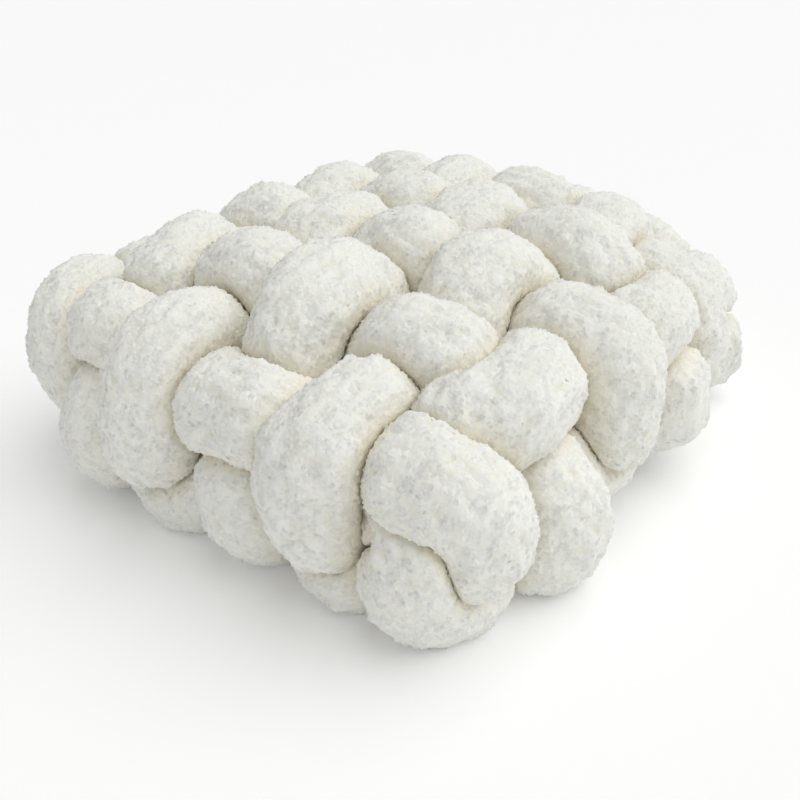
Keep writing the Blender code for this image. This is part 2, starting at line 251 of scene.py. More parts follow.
# %% One pass and one rim of the route
route_points = []
route_sides = []


def add_point(point, side):
    """The next point of the tube's middle, with the direction of the tube's side."""
    route_points.append(point)
    route_sides.append(side)


def oriented(lies_along_x, along, across, height):
    """A point in x, y and z that is given along and across a run."""
    return (along, across, height) if lies_along_x else (across, along, height)


def add_face(lies_along_x, run, face, side):
    """One pass over the top, towards the near rim, or back underneath to the far one."""
    numbers = range(RUNS) if face < 0 else reversed(range(RUNS))
    for number in numbers:
        column, row = (number, run) if lies_along_x else (run, number)
        add_point(crossing_point(lies_along_x, column, row, face), side)


def add_rim(lies_along_x, rows, run, next_run, end, side):
    """The passage round a rim; end is -1 at the near rim and 1 at the far one. Formula: along the
    run it is half the span plus the reach, and across it the run plus the slip to the next."""
    number = 0 if end < 0 else RUNS - 1
    crossing = (number, run) if lies_along_x else (run, number)
    for row in rows:
        along = end * (HALF_SPAN + row["reach"] * PITCH)
        across = at_pitches(run + row["slip"] * (next_run - run))
        rise = row["rise"] * PITCH
        point = np.array(oriented(lies_along_x, along, across, MIDDLE_HEIGHT + rise))
        add_point(point + uneven_at(*crossing, rise), side)


# %% The whole route
SIDE_ALONG_X = (0.0, -1.0, 0.0)
SIDE_ALONG_Y = (1.0, 0.0, 0.0)


def add_turns(lies_along_x, runs, side):
    """All the turns along one axis, in the order in which the tube makes them."""
    for place, run in enumerate(runs):
        add_face(lies_along_x, run, 1, side)
        column, row = (0, run) if lies_along_x else (run, 0)
        kind = "over" if turn_is_outer(lies_along_x, column, row, 1) else "under"
        add_rim(lies_along_x, STRAIGHT_RIM[kind], run, run, -1, side)
        add_face(lies_along_x, run, -1, side)
        if place + 1 < len(runs):
            column, row = (RUNS - 1, run) if lies_along_x else (run, RUNS - 1)
            kind = "full" if turn_is_outer(lies_along_x, column, row, -1) else "tucked"
            add_rim(lies_along_x, SLIPPING_RIM[kind], run, runs[place + 1], 1, side)


add_rim(True, TUCKED_ENDS["first"], 0, 0, 1, SIDE_ALONG_X)
add_turns(True, list(range(RUNS)), SIDE_ALONG_X)
for turn in CORNER_TURN:
    corner_x, corner_y = HALF_SPAN + turn["x"] * PITCH, HALF_SPAN + turn["y"] * PITCH
    add_point((corner_x, corner_y, MIDDLE_HEIGHT + turn["rise"] * PITCH), turn["side"])
add_turns(False, list(reversed(range(RUNS))), SIDE_ALONG_Y)
add_rim(False, TUCKED_ENDS["last"], 0, 0, 1, SIDE_ALONG_Y)
print("the route has", len(route_points), "points from end to end")


# %% [markdown]
# ## Drawn-in corners and one smooth line
#
# Weaving pulls the corners of the square in and makes them thinner. After that, a smooth curve is
# laid through the points. A cubic between each two of them does it, whose slope at a point is the
# average of the slopes on its two sides, so the line has no kinks and does not overshoot.

# %% Draw the corners in
def drawn_in(points):
    """The points with the corners drawn in. Formula: a corner's pull is the square of the way to
    it along x times the square of the way along y. A point moves towards the middle by the draw
    times the pull, and down by the thinning times the pull."""
    u = points[:, 0] / HALF_SPAN
    v = points[:, 1] / HALF_SPAN
    draw = np.zeros(len(points))
    thin = np.zeros(len(points))
    for corner in CORNERS:
        pull = np.clip(u * corner["x"], 0, None) ** 2 * np.clip(v * corner["y"], 0, None) ** 2
        draw += corner["draw"] * pull
        thin += corner["thin"] * np.clip(pull, 0, 1)
    moved = np.empty_like(points)
    moved[:, 0] = points[:, 0] * (1 - draw) * (1 + STRETCH)
    moved[:, 1] = points[:, 1] * (1 - draw) * (1 - STRETCH)
    moved[:, 2] = LOWEST_MIDDLE + (points[:, 2] - LOWEST_MIDDLE) * (1 - thin)
    return moved


knot_points = drawn_in(np.array(route_points))
print("the tube's middle spans", np.ptp(knot_points, axis=0).round(3), "m")

# %% A smooth line through the points
STEPS_PER_STRETCH = 20   # points of the smooth line between two route points


def unit(vectors):
    """Each row divided by its length."""
    return vectors / np.linalg.norm(vectors, axis=-1, keepdims=True)


def travelled(points):
    """Distance along a line of points: the running sum of the steps between them."""
    steps = np.linalg.norm(np.diff(points, axis=0), axis=1)
    return np.concatenate([[0.0], np.cumsum(steps)])


def smooth_line(knots, values):
    """Cubics through rows of values. Formula: with t from 0 to 1 between two rows, the four
    Hermite weights of t blend the two rows and the slopes at them."""
    spans = np.diff(knots)[:, None]
    rates = np.diff(values, axis=0) / spans
    slopes = np.empty_like(values)
    slopes[1:-1] = (rates[:-1] * spans[1:] + rates[1:] * spans[:-1]) / (spans[:-1] + spans[1:])
    slopes[0] = rates[0]
    slopes[-1] = rates[-1]
    t = np.linspace(0, 1, STEPS_PER_STRETCH, endpoint=False)[None, :, None]
    start, end = values[:-1, None], values[1:, None]
    start_slope, end_slope = (slopes[:-1] * spans)[:, None], (slopes[1:] * spans)[:, None]
    line = (
        start * (2 * t**3 - 3 * t**2 + 1)
        + end * (3 * t**2 - 2 * t**3)
        + start_slope * (t**3 - 2 * t**2 + t)
        + end_slope * (t**3 - t**2)
    )
    return np.vstack([line.reshape(-1, values.shape[1]), values[-1:]])


knots = travelled(knot_points)
line = smooth_line(knots, knot_points)
line_side = smooth_line(knots, np.array(route_sides))
distance = travelled(line)
print("the tube is", round(distance[-1], 2), "m long")

# %% [markdown]
# ## The tube as a surface
#
# The tube's surface is a function of two parameters: the distance along the line, and the angle
# round it. Every place along the line has a ring of spokes, and a point of the surface is a
# spoke's tip. A loose tube would be round. In the weave it presses against itself nearly
# everywhere, and two soft things that press on each other meet half way. So a spoke stops where
# it is as near to the middle of another stretch of tube as to the middle of its own. That one
# rule gives the plump lobes, their flat sides and the creases between them.
#
# Blender's cloth simulation could press the tube too, but it would have to keep ten metres of
# tube from passing through itself at a hundred and fifty places, and the remeshing before it
# would fuse stretches that lie closer together than a voxel. The rule takes a few seconds.

# %% Spokes and pressing
ROUND = 68               # points round the tube
FRONT_LOADED = 0.42      # how much closer those points stand on the tube's outward side
OWN_LENGTH = 0.35 * PITCH  # of the tube itself, either way along it, that never presses on a ring
PILE_OVERLAP = 0.0016    # how far the piles of two pressed stretches sink into each other
PRESS_SHARPNESS = 7.0    # how squarely two pressed stretches flatten against each other
LEAST_RADIUS = 0.003     # the tube is never pressed thinner than this
REACH = 2.2 * TUBE_RADIUS  # another stretch further away than this can't press on a spoke
BESIDE = 1e-6            # least way times spoke; a stretch beside or behind a spoke has less
UNPRESSED = 1.0          # the limit of a spoke that nothing presses on
BLOCK = 40               # rings worked out together


def spoke_angles(count, front_loaded):
    """Angles round the tube, 0 pointing outwards. Formula: equal steps less a share of their own
    sine, which crowds them round 0."""
    step = np.arange(count) / count
    return 2 * np.pi * step - front_loaded * np.sin(2 * np.pi * step)


def spoke_frames(places, angles):
    """Rings' centres, and the directions of their spokes. Formula: cosine of the angle times
    outwards, plus sine of it times the tube's side, both square to the tube's heading."""
    centres = np.stack([np.interp(places, distance, line[:, k]) for k in range(3)], axis=1)
    ahead = np.gradient(line, distance, axis=0)
    heading = unit(np.stack([np.interp(places, distance, ahead[:, k]) for k in range(3)], axis=1))
    side = np.stack([np.interp(places, distance, line_side[:, k]) for k in range(3)], axis=1)
    side = unit(side - np.einsum("ij,ij->i", side, heading)[:, None] * heading)
    outward = np.cross(heading, side)
    angles = angles[None, :, None]
    return centres, np.cos(angles) * outward[:, None] + np.sin(angles) * side[:, None]


def pressed_limits(centres, spokes, places):
    """How far each spoke can reach, a block of rings at a time. Formula: with w the way to a
    point of another stretch and d the spoke's direction, the limit is w.w / (2 d.w), and the
    least of these over all the points near by holds."""
    limits = np.empty(spokes.shape[:2])
    for first in range(0, len(centres), BLOCK):
        rings = slice(first, first + BLOCK)
        middle = centres[rings].mean(axis=0)
        spread = np.linalg.norm(centres[rings] - middle, axis=1).max()
        near = np.linalg.norm(line - middle, axis=1) < REACH + spread
        way = line[near][None] - centres[rings][:, None]
        square = (way**2).sum(axis=2)
        apart = np.abs(distance[near][None] - places[rings][:, None])
        square[(apart < OWN_LENGTH) | (square > REACH**2)] = np.inf
        facing = np.einsum("rsk,rmk->rsm", spokes[rings], way)
        limits[rings] = (square[:, None] / (2 * np.maximum(facing, BESIDE))).min(axis=2)
    return np.minimum(limits, UNPRESSED)


# %% [markdown]
# ## Rings where the tube shows
#
# A mesh fine enough for the pile is only needed where the tube shows. More than half of its
# length passes inside a neighbour. A first coarse look at the pressing says where, and the rings
# then stand close together on the lobes and further apart in between.

# %% Places of the rings
SHOWN_STEP = 0.0023      # between rings where the tube shows
HIDDEN_STEP = 0.0060     # between rings where another stretch covers it
LOOK_STEP = 0.003        # between the rings of the first coarse look
LOOK_SPOKES = np.radians([-70, -45, -20, 0, 20, 45, 70])
LOOK_BLUR = 5            # looks in a row that are averaged
COVERED = 0.95           # a limit of this share of the radius or less is a covered stretch
OPENING = 0.25           # and this much more is a stretch that shows

look_places = np.arange(0, distance[-1], LOOK_STEP)
look_limits = pressed_limits(*spoke_frames(look_places, LOOK_SPOKES), look_places)
openness = (look_limits.max(axis=1) / TUBE_RADIUS - COVERED) / OPENING
openness = np.convolve(np.clip(openness, 0, 1), np.ones(LOOK_BLUR) / LOOK_BLUR, mode="same")
step = HIDDEN_STEP + (SHOWN_STEP - HIDDEN_STEP) * openness
ring_number = np.concatenate([[0.0], np.cumsum(LOOK_STEP / step[:-1])])
places = np.interp(np.arange(0, ring_number[-1]), ring_number, look_places)
print(len(places), "rings,", round(openness.mean() * 100), "% of the tube shows")

# %% [markdown]
# ## Plump lobes
#
# Where two limits meet, a hard minimum would leave a sharp edge. A soft minimum rounds it: the
# tube's own radius and the limit are each raised to a negative power, summed, and brought back.
# The two ends of the tube close to round tips.

# %% The pressed tube
PILE_DEPTH = 0.0014      # of the curly pile, over the skin
FIRST_RING = 0.004       # how far along a round tip its first ring stands, as a share

centres, spokes = spoke_frames(places, spoke_angles(ROUND, FRONT_LOADED))
limits = pressed_limits(centres, spokes, places)
pressed = np.maximum(limits + PILE_OVERLAP / 2, LEAST_RADIUS)
root_radius = TUBE_RADIUS - PILE_DEPTH
radii = (root_radius**-PRESS_SHARPNESS + pressed**-PRESS_SHARPNESS) ** (-1 / PRESS_SHARPNESS)
from_tip = np.minimum(places, places[-1] - places)
along_tip = np.clip(from_tip / TIP_LENGTH, FIRST_RING, 1)
closing = np.sqrt(np.clip(1 - (1 - along_tip) ** 2, 0, 1))
skin = centres[:, None] + spokes * (radii * closing[:, None])[:, :, None]
print("the skin has", skin.shape[0] * skin.shape[1], "points")


# %% [markdown]
# ## Which way is out
#
# The pile stands square to the skin. On a grid of points that direction is the cross product of
# the two ways along the grid: from ring to ring, and from spoke to spoke.

# %% Normals of the skin
TINY = 1e-12             # keeps a division away from zero


def normals_of(grid):
    """Outward direction at each point of a closed tube. Formula: the step along the tube crossed
    with the step round it, at length 1."""
    along = np.gradient(grid, axis=0)
    round_it = np.roll(grid, -1, axis=1) - np.roll(grid, 1, axis=1)
    across = np.cross(along, round_it)
    return across / np.maximum(np.linalg.norm(across, axis=2, keepdims=True), TINY)


outwards = np.einsum("rsk,rsk->rs", normals_of(skin), spokes)
print("points where a bend folds the skin:", int((outwards < 0).sum()))

# %% [markdown]
# ## Folds at tight bends
#
# Stuffed fleece crumples softly on the inside of a tight bend. In a grid of rings the same bend
# makes the rings cross each other, which shows as a sharp fold. A fold is found by its normal,
# which no longer points out along its spoke. The skin there is smoothed again and again, as a
# sculptor's smooth brush does, and the smoothing fades out over a few neighbours.

# %% Easing the folds
FOLD_SLOPE = 0.35        # below this share of a normal that points out, the skin is about to fold
FOLD_SPREAD = 4          # neighbours either way that are eased with it
FOLD_FADE = 0.85         # by how much the easing is less at each of them
FOLD_MARGIN = 2          # rings either way that are taken along and stay
EASINGS = 60
SHOWN_ROOM = 0.8         # the skin shows where its limit is over this share of the radius


def neighbours(grid):
    """The four neighbours of each point: the rings before and after, the spokes either side."""
    before = np.concatenate([grid[:1], grid[:-1]])
    after = np.concatenate([grid[1:], grid[-1:]])
    return np.stack([before, after, np.roll(grid, 1, axis=1), np.roll(grid, -1, axis=1)])


def eased(grid, folding):
    """The grid with its folds smoothed out. Formula: again and again, a point near a fold moves
    half way to the average of its four neighbours; points away from folds stay."""
    share = folding.astype(float)
    for _ in range(FOLD_SPREAD):
        share = np.maximum(share, FOLD_FADE * neighbours(share).max(axis=0))
    rings = np.flatnonzero(share.max(axis=1) > 0)
    for part in np.split(rings, np.flatnonzero(np.diff(rings) > 2 * FOLD_SPREAD) + 1):
        rows = slice(max(part[0] - FOLD_MARGIN, 0), part[-1] + FOLD_MARGIN + 1)
        piece, weight = grid[rows], share[rows, :, None] / 2
        for _ in range(EASINGS):
            piece = piece + weight * (neighbours(piece).mean(axis=0) - piece)
        grid[rows] = piece
    return grid


is_shown = limits > SHOWN_ROOM * TUBE_RADIUS
skin = eased(skin, (outwards < FOLD_SLOPE) & is_shown)
normals = normals_of(skin)
outwards = np.einsum("rsk,rsk->rs", normals, spokes)
print("and once they are eased:", int(((outwards < 0) & is_shown).sum()))

# %% [markdown]
# ## A lumpy skin
#
# Stuffing is never even, and teddy fleece clumps, so the skin under the pile is a little lumpy.
# Many waves of one length in random directions, added up, give a field with blobs of that size
# everywhere and no visible repeat. Three such fields, from broad to fine, push the skin in and
# out. Where the tube is pressed it has less room to be lumpy.

# %% Fields of random waves
WAVES = 40
WAVE_LENGTHS = (0.8, 1.25)  # shortest and longest, as shares of the length asked for


def wave_field(points, length, seed):
    """A smooth random field. Formula: the sum of cosines of waves in random directions, with
    lengths near the one asked for, scaled so that its typical size is 1."""
    random = np.random.default_rng(seed)
    direction = unit(random.normal(size=(WAVES, 3)))
    number = 2 * np.pi / (length * random.uniform(*WAVE_LENGTHS, size=(WAVES, 1)))
    phase = random.uniform(0, 2 * np.pi, size=WAVES)
    flat = points.reshape(-1, 3).astype(np.float32)
    waves = (direction * number).astype(np.float32)
    field = np.zeros(len(flat), np.float32)
    for wave, shift in zip(waves, phase.astype(np.float32)):
        field += np.cos(flat @ wave + shift)
    return (field * math.sqrt(2 / WAVES)).reshape(points.shape[:-1])


# %% The lumpy surface
LUMPS = (
    {"length": 0.050, "height": 0.0010, "seed": 7},
    {"length": 0.018, "height": 0.0005, "seed": 8},
    {"length": 0.008, "height": 0.0006, "seed": 9},
)
LUMPS_FROM = 0.80        # the limit, as a share of the radius, above which lumps begin to grow
LUMPS_OVER = 0.45        # and over which they grow to their full height
LEAST_LUMPS = 0.12       # share of their height that is left where the tube is pressed
LUMPS_SLOPE = 0.5        # they also fade where less than this share of the normal points out

room = np.clip((limits / TUBE_RADIUS - LUMPS_FROM) / LUMPS_OVER, LEAST_LUMPS, 1)
freedom = room * np.clip(outwards / LUMPS_SLOPE, 0, 1)
lumpiness = np.zeros(skin.shape[:2])
for lump in LUMPS:
    lumpiness += lump["height"] * wave_field(skin, lump["length"], lump["seed"])
stands_out = lumpiness * freedom * closing[:, None]
surface = skin + normals * stands_out[:, :, None]
low, high = surface.reshape(-1, 3).min(axis=0), surface.reshape(-1, 3).max(axis=0)
surface[:, :, :2] += ((cad_low + cad_high - low - high) / 2)[:2]
surface[:, :, 2] = np.maximum(surface[:, :, 2], 0.0)
normals = normals_of(surface)
print("before the floor pressed it flat, the skin measured", (high - low).round(3), "m")


# %% [markdown]
# ## Closed lengths of tube
#
# One mesh of nearly four hundred thousand triangles is heavy to handle. The tube is cut into a
# few lengths, each closed at both ends, and every cut lies where another stretch of the tube
# hides it. Each point also keeps two numbers for the material, which it turns into painted shade:
# how high the pile stands there, and how deep in a crease it lies.

# %% Where to cut
LENGTHS = 5
CUT_SEARCH = 45          # rings either way of an equal share, among which a cut may lie
CUT_GAP = 0.08           # left at a cut, as a share of the step between two rings


def cut_places(count):
    """Ring numbers at which to cut: near equal shares, where the tube shows least."""
    cover = np.interp(places, look_places, openness)
    cuts = [0]
    for share in range(1, count):
        middle = round(len(places) * share / count)
        around = np.arange(middle - CUT_SEARCH, middle + CUT_SEARCH)
        cuts.append(int(around[cover[around].argmin()]))
    return cuts + [len(places) - 1]


cuts = cut_places(LENGTHS)
print("cut at rings", cuts)


# %% A mesh from arrays
def fleece_piece(name, points, corners, sizes, numbers):
    """A smooth piece of fleece. corners are all the faces' points in a row, sizes how many each
    face has; a face starts where the sizes before it add up to. numbers are for the material."""
    starts = np.concatenate([[0], np.cumsum(sizes)[:-1]])
    mesh = bpy.data.meshes.new(name)
    mesh.vertices.add(len(points))
    mesh.vertices.foreach_set("co", points.astype(np.float32).ravel())
    mesh.loops.add(len(corners))
    mesh.loops.foreach_set("vertex_index", corners.astype(np.int32))
    mesh.polygons.add(len(sizes))
    mesh.polygons.foreach_set("loop_start", starts.astype(np.int32))
    mesh.update(calc_edges=True)
    mesh.validate()
    mesh.shade_smooth()
    for label, values in numbers.items():
        layer = mesh.attributes.new(label, "FLOAT", "POINT")
        layer.data.foreach_set("value", values.astype(np.float32))
    piece = bpy.data.objects.new(name, mesh)
    bpy.context.scene.collection.objects.link(piece)
    return piece


def triangles_of(piece):
    """How many triangles a piece makes: a face of n corners makes n - 2."""
    return len(piece.data.loops) - 2 * len(piece.data.polygons)


# %% One closed length
def tube_faces(rings, spoke_count):
    """Quads between neighbouring rings, and a fan from each end's middle point."""
    ring = np.arange(rings - 1)[:, None] * spoke_count
    spoke = np.arange(spoke_count)[None, :]
    following = (spoke + 1) % spoke_count
    below, above = ring, ring + spoke_count
    quads = np.stack([below + spoke, above + spoke, above + following, below + following], -1)
    first, last = rings * spoke_count, rings * spoke_count + 1
    end = (rings - 1) * spoke_count
    spoke, following = spoke[0], following[0]
    start_fan = np.stack([np.full(spoke_count, first), spoke, following], -1)
    end_fan = np.stack([np.full(spoke_count, last), end + following, end + spoke], -1)
    return quads.reshape(-1, 4), np.vstack([start_fan, end_fan])


def tube_length(name, grid, pile_grid, crease_grid):
    """One closed length of the tube, with its pile height and crease depth on its points. The
    middle point of each end is the average of its ring."""
    rings, spoke_count = grid.shape[:2]
    ends = np.stack([grid[0].mean(axis=0), grid[-1].mean(axis=0)])
    points = np.vstack([grid.reshape(-1, 3), ends])
    quads, fans = tube_faces(rings, spoke_count)
    corners = np.concatenate([quads.ravel(), fans.ravel()])
    sizes = np.concatenate([np.full(len(quads), 4), np.full(len(fans), 3)])
    numbers = {
        "pile": np.concatenate([pile_grid.ravel(), [0.0, 0.0]]),
        "crease": np.concatenate([crease_grid.ravel(), [0.0, 0.0]]),
    }
    return fleece_piece(name, points, corners, sizes, numbers)


# %% Cutting the tube into lengths
# The crease depth and the pile height below are masks for painted shade: the material paints warmer,
# darker creams deep in the creases, and where the finest lumps sink in.
CREASE_FROM = 0.85       # deepest in a crease where the limit is this share of the radius or less
CREASE_OVER = 0.55       # and out of it this much further
SKIN_PILE = 0.35         # how high the material takes the pile to stand on the bare skin
SKIN_PILE_VARIES = 0.12  # and how much that varies, with the finest lumps

crease = 1 - np.clip((limits / TUBE_RADIUS - CREASE_FROM) / CREASE_OVER, 0, 1)
clumps = wave_field(skin, LUMPS[-1]["length"], LUMPS[-1]["seed"])
pile = np.clip(SKIN_PILE + SKIN_PILE_VARIES * clumps, 0, 1)
lengths = []
for number, (start, stop) in enumerate(zip(cuts[:-1], cuts[1:])):
    grid = surface[start:stop + 1].copy()
    if stop < len(places) - 1:
        grid[-1] += (grid[-2] - grid[-1]) * CUT_GAP
    rows = slice(start, stop + 1)
    piece = tube_length(f"fleece_tube_{number + 1}", grid, pile[rows], crease[rows])
    lengths.append(piece)
    print(piece.name, "has", triangles_of(piece), "triangles")

# %% [markdown]
# ## Tufts of pile
#
# Teddy fleece has short curls that clump into little tufts, a few millimetres long, which lie
# every way over one another. At the edge of a lobe they are what makes the outline soft, so here
# they are real shapes and not only a bump in the material. A tuft is a low ridge of five points:
# a root, two sides and a tip just under the skin, and one point that stands up. Each point is
# looked up on the skin itself, so a tuft follows it round every lobe and none of them hovers.
#
# A tuft is a solid little wedge, but it should look like a swelling of the pile. So its points
# are shaded almost as the skin is, by directions of their own that are stored with the mesh. The
# few tufts that this doesn't suit, in hollows or at folds, are left out.

# %% Where the tufts stand
TUFT_AREA = 7.4e-6       # skin to each tuft, in square metres
TUFT_ROOM = 0.79         # a tuft needs this share of the tube's radius before the next stretch
TUFT_SLOPE = 0.2         # and at least this share of the skin's normal has to point out
LEAST_STEP = 0.0003      # that two neighbouring points of the skin are taken to be apart
TUFT_SEED = 57


def skin_steps(grid):
    """Distances between a point of the skin and the next, along the tube and round it. Formula:
    the lengths of the grid's differences both ways."""
    along = np.linalg.norm(np.gradient(grid, axis=0), axis=2)
    round_it = np.linalg.norm(np.roll(grid, -1, axis=1) - np.roll(grid, 1, axis=1), axis=2) / 2
    return np.maximum(along, LEAST_STEP), np.maximum(round_it, LEAST_STEP)


random = np.random.default_rng(TUFT_SEED)
step_along, step_round = skin_steps(surface)
has_room = (limits > TUFT_ROOM * TUBE_RADIUS) & (outwards > TUFT_SLOPE)
filled = np.cumsum((step_along * step_round * has_room).ravel())
tuft_count = int(filled[-1] / TUFT_AREA)
marks = (np.arange(tuft_count) + random.uniform(0, 1, tuft_count)) * TUFT_AREA
chosen = np.minimum(np.searchsorted(filled, marks), len(filled) - 1)
tuft_ring = chosen // ROUND + random.uniform(-0.5, 0.5, tuft_count)
tuft_spoke = chosen % ROUND + random.uniform(-0.5, 0.5, tuft_count)
print(tuft_count, "tufts on", round(float(filled[-1]), 2), "square metres of free skin")

# %% The shape of a tuft
TUFT_LENGTH = 0.0056
TUFT_WIDTH = 0.0022      # half of a tuft's width
TUFT_HEIGHT = 0.0010
# Shares of the length forward, of the width aside and of the height up. pile says how light the
# material is there: painted shade makes a tuft's root and sides darker than its ridge.
TUFT_POINTS = (
    {"forward": -0.10, "aside": 0.0, "up": -0.5, "pile": 0.45},
    {"forward": 0.40, "aside": 1.0, "up": -0.4, "pile": 0.45},
    {"forward": 0.45, "aside": 0.0, "up": 1.0, "pile": 0.60},
    {"forward": 0.40, "aside": -1.0, "up": -0.4, "pile": 0.45},
    {"forward": 1.00, "aside": 0.0, "up": -0.3, "pile": 0.50},
)
TUFT_FACES = np.array([(0, 2, 1), (0, 3, 2), (4, 1, 2), (4, 2, 3), (0, 1, 3), (4, 3, 1)])
SHOWING = 4              # the first faces of a tuft show, the others lie under the skin
RIDGE = 2                # the point that stands up
TUFT_LEAN = 0.6          # how far a tip may lie aside, as a share of the width
LEAN_FROM = 0.4          # share of the length from which a tuft leans
TUFT_ROUNDNESS = 0.5     # how far the shading turns away from the skin's at a tuft's edges
BEFORE_LAST = 0.001      # how far before the last ring a look-up ends


def nearest(ring, spoke):
    """The grid point nearest to a place on the grid: both numbers rounded."""
    ring = np.clip(np.round(ring).astype(int), 0, len(surface) - 1)
    return ring, np.round(spoke).astype(int) % ROUND


def between(grid, ring, spoke):
    """Values of a grid between its points. Formula: the four nearest points, each weighted by how
    near it is along and round the tube."""
    ring = np.clip(ring, 0, len(grid) - 1 - BEFORE_LAST)
    first, left = np.floor(ring).astype(int), np.floor(spoke).astype(int)
    ahead, aside = (ring - first)[:, None], (spoke - left)[:, None]
    left, right = left % grid.shape[1], (left + 1) % grid.shape[1]
    before = grid[first, left] * (1 - aside) + grid[first, right] * aside
    after = grid[first + 1, left] * (1 - aside) + grid[first + 1, right] * aside
    return before * (1 - ahead) + after * ahead


def tuft_points(ring, spoke, turn, size):
    """Five points of all the tufts, and the directions that shade them. Formula: a point's place
    on the grid is the tuft's, plus its way forward and aside, turned by the tuft's direction and
    divided by the steps of the grid. It then stands up from the skin there by its height."""
    near = nearest(ring, spoke)
    along_step, round_step = step_along[near], step_round[near]
    outward = normals[near]
    along = unit(np.gradient(surface, axis=0))[near]
    along = unit(along - np.einsum("ij,ij->i", along, outward)[:, None] * outward)
    across = np.cross(outward, along)
    cosine, sine = np.cos(turn), np.sin(turn)
    points = []
    shading = []
    for point in TUFT_POINTS:
        lean = TUFT_LEAN * size["lean"] * max(point["forward"] - LEAN_FROM, 0)
        forward = TUFT_LENGTH * size["length"] * point["forward"]
        aside = TUFT_WIDTH * size["width"] * (point["aside"] + lean)
        along_way, across_way = cosine * forward - sine * aside, sine * forward + cosine * aside
        where = ring + along_way / along_step, spoke + across_way / round_step
        up = unit(between(normals, *where))
        height = TUFT_HEIGHT * size["height"] * point["up"]
        points.append(between(surface, *where) + up * height[:, None])
        way = along_way[:, None] * along + across_way[:, None] * across
        shading.append(unit(up + TUFT_ROUNDNESS * way / TUFT_LENGTH))
    return np.stack(points, axis=1), np.stack(shading, axis=1)


print("a tuft is", TUFT_LENGTH * 1000, "mm long and", 2 * TUFT_WIDTH * 1000, "mm wide")

# %% Which tufts stand well
FACES_AGREE = 0.5        # least cosine between a face that shows and the shading of its points
POINTS_AGREE = 0.7       # least cosine between the shading of a point and of the ridge
LEAST_STAND = 0.0006     # how far the ridge has to stand above the faces underneath


def stands_well(points, shading):
    """Which tufts stand well on the skin. Formula: the direction of every face that shows, which
    is the cross product of two of its edges, agrees with the shading of its points; the shading
    of every point agrees with the ridge's; and the ridge stands above the faces underneath."""
    corners = points[:, TUFT_FACES]
    edge, other_edge = corners[:, :, 1] - corners[:, :, 0], corners[:, :, 2] - corners[:, :, 0]
    facing = unit(np.cross(edge, other_edge))
    wanted = shading[:, TUFT_FACES[:SHOWING]].mean(axis=2)
    faces_agree = np.einsum("tfk,tfk->tf", facing[:, :SHOWING], wanted).min(axis=1) > FACES_AGREE
    points_agree = np.einsum("tpk,tk->tp", shading, shading[:, RIDGE]).min(axis=1) > POINTS_AGREE
    way_up = points[:, None, RIDGE] - corners[:, SHOWING:, 0]
    stands_up = np.einsum("tfk,tfk->tf", facing[:, SHOWING:], way_up).max(axis=1) < -LEAST_STAND
    return faces_agree & points_agree & stands_up


# %% All the tufts
SWIRL = 2.5              # how far neighbouring tufts turn together, in radians
SWIRL_LENGTH = 0.020     # size of the patches that turn together
SWIRL_SEED = 67
UNRULINESS = 0.7         # how far each turns on its own, in radians
# Least and greatest share of a tuft's usual sizes; lean is to either side.
TUFT_RANGES = {
    "length": (0.75, 1.25),
    "width": (0.8, 1.25),
    "height": (0.6, 1.3),
    "lean": (-1, 1),
}

tuft_place = nearest(tuft_ring, tuft_spoke)
turn = SWIRL * wave_field(surface[tuft_place], SWIRL_LENGTH, SWIRL_SEED)
turn = turn + random.normal(0, UNRULINESS, tuft_count)
tuft_size = {
    size: random.uniform(least, greatest, tuft_count)
    for size, (least, greatest) in TUFT_RANGES.items()
}
tufts, tuft_shading = tuft_points(tuft_ring, tuft_spoke, turn, tuft_size)
# Each tuft takes the crease depth under it, for the painted crease shade.
tuft_depth = crease[tuft_place]
kept = stands_well(tufts, tuft_shading)
tufts, tuft_shading, tuft_depth = tufts[kept], tuft_shading[kept], tuft_depth[kept]
tufts[:, :, 2] = np.maximum(tufts[:, :, 2], 0.0)
print(len(tufts), "tufts stand well, of", len(TUFT_FACES), "triangles each")

# %% The tufts as meshes
TUFT_PIECES = 4


def tuft_piece(name, points, shading, depth):
    """One mesh of many tufts, with their pile height, crease depth and shading on its points. The
    faces of a tuft are those of the first, with five more added for each tuft before it."""
    count, corners = points.shape[:2]
    faces = TUFT_FACES[None] + np.arange(count)[:, None, None] * corners
    sizes = np.full(count * len(TUFT_FACES), TUFT_FACES.shape[1])
    numbers = {
        "pile": np.tile([point["pile"] for point in TUFT_POINTS], count),
        "crease": np.repeat(depth, corners),
    }
    piece = fleece_piece(name, points.reshape(-1, 3), faces.ravel(), sizes, numbers)
    directions = piece.data.attributes.new("custom_normal", "FLOAT_VECTOR", "POINT")
    directions.data.foreach_set("vector", shading.astype(np.float32).ravel())
    return piece


pile_pieces = []
for number, part in enumerate(np.array_split(np.arange(len(tufts)), TUFT_PIECES)):
    name = f"fleece_pile_{number + 1}"
    piece = tuft_piece(name, tufts[part], tuft_shading[part], tuft_depth[part])
    pile_pieces.append(piece)
    print(piece.name, "has", triangles_of(piece), "triangles")

# %% [markdown]
# ## Teddy fleece as a material
#
# The fleece is creamy white and quite matt. Its tips are the lightest, and between the curls and
# deep in the creases it looks warmer, because light that has bounced from fibre to fibre keeps
# the yarn's colour. That shade is painted into the colour: the pile height and crease depth stored
# on the points choose between a few creams, warmer and darker at the roots and in the creases.
# Fibres too fine for the mesh are a bump made from noise, in the object's own coordinates, so
# they stay put on the cushion. The same noise paints small spots a little lighter or darker, as
# painted shade in the bump's hollows and lighter on its rises.

